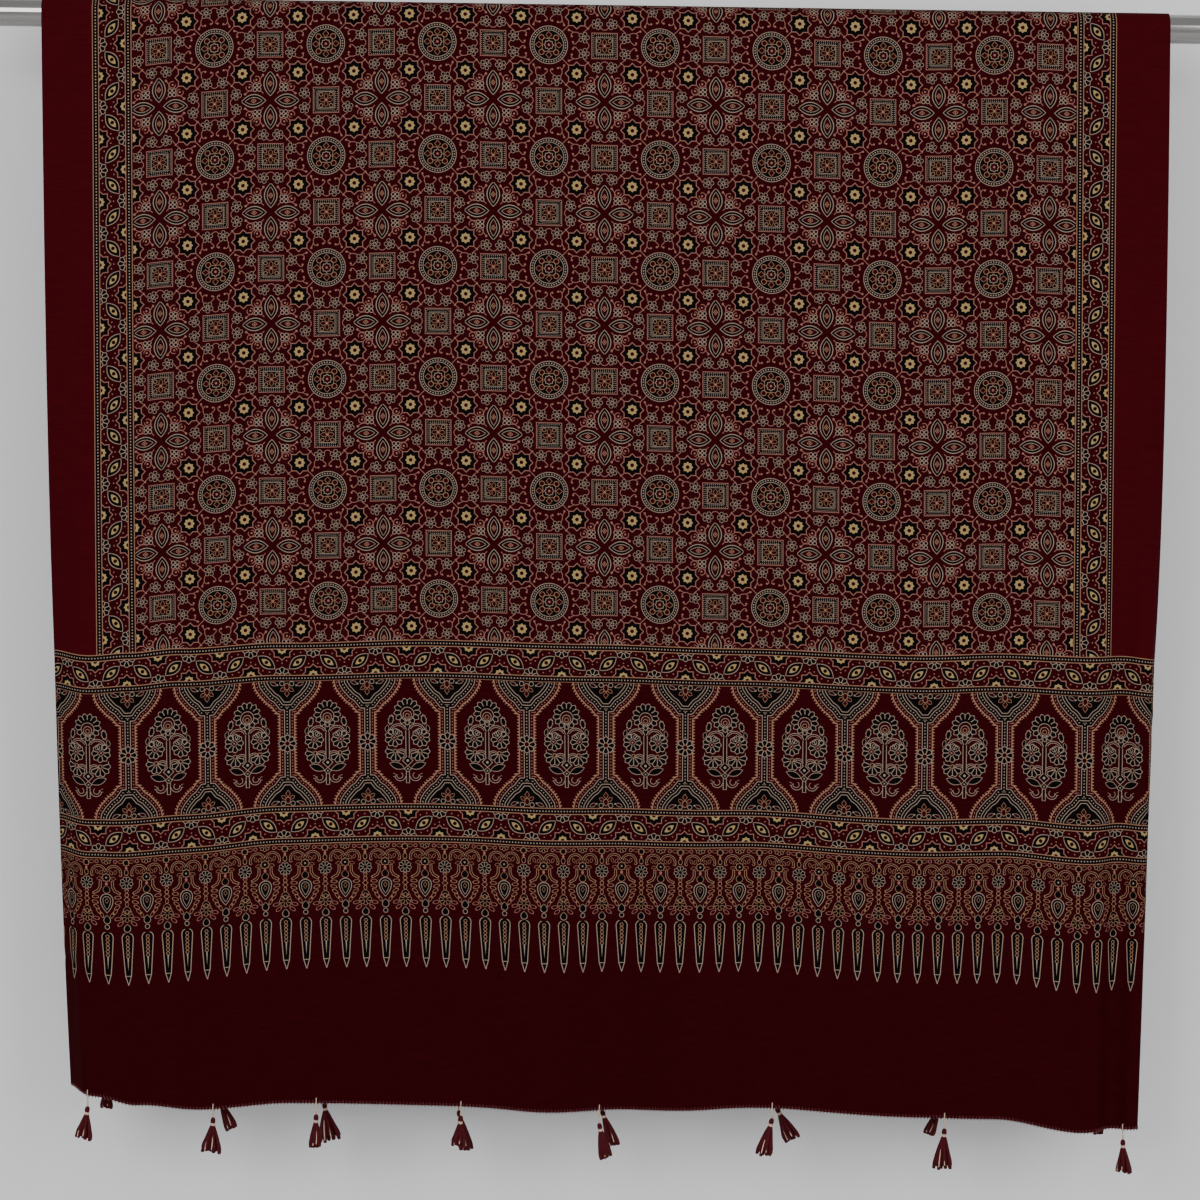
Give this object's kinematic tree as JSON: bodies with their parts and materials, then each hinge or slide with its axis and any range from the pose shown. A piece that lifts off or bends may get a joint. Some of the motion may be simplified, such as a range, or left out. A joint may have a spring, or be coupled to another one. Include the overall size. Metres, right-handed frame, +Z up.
{
  "type": "block print dupatta with tassels on a rail",
  "caption": "Maroon block print dupatta hung in half over a plain round steel rail, with a patterned end panel and small yarn tassels along both hems.",
  "frame": {"origin": "on the rail's axis, half way along the rail", "axes": "+X along the rail to the right as seen from the printed front, +Y away from the viewer, +Z up; the rail's right end hangs 0.86 degrees lower"},
  "size_m": [1.2602, 0.0686, 1.1583],
  "materials": {
    "cloth": "soft satin, block printed in black, cream, ochre and salmon",
    "yarn": "matt twisted yarn",
    "thread": "matt cotton thread",
    "steel": "polished"
  },
  "bodies": {
    "root": {"rail": "steel", "cloth": "cloth", "thread_front_1": "thread", "tassel_front_1": "yarn", "thread_front_2": "thread", "tassel_front_2": "yarn", "thread_front_3": "thread", "tassel_front_3": "yarn", "thread_front_4": "thread", "tassel_front_4": "yarn", "thread_front_5": "thread", "tassel_front_5": "yarn", "thread_front_6": "thread", "tassel_front_6": "yarn", "thread_front_7": "thread", "tassel_front_7": "yarn", "thread_front_8": "thread", "tassel_front_8": "yarn", "thread_back_1": "thread", "tassel_back_1": "yarn", "thread_back_2": "thread", "tassel_back_2": "yarn", "thread_back_3": "thread", "tassel_back_3": "yarn", "thread_back_4": "thread", "tassel_back_4": "yarn", "thread_back_5": "thread", "tassel_back_5": "yarn", "thread_back_6": "thread", "tassel_back_6": "yarn", "thread_back_7": "thread", "tassel_back_7": "yarn", "thread_back_8": "thread", "tassel_back_8": "yarn"}
  },
  "joints": []
}
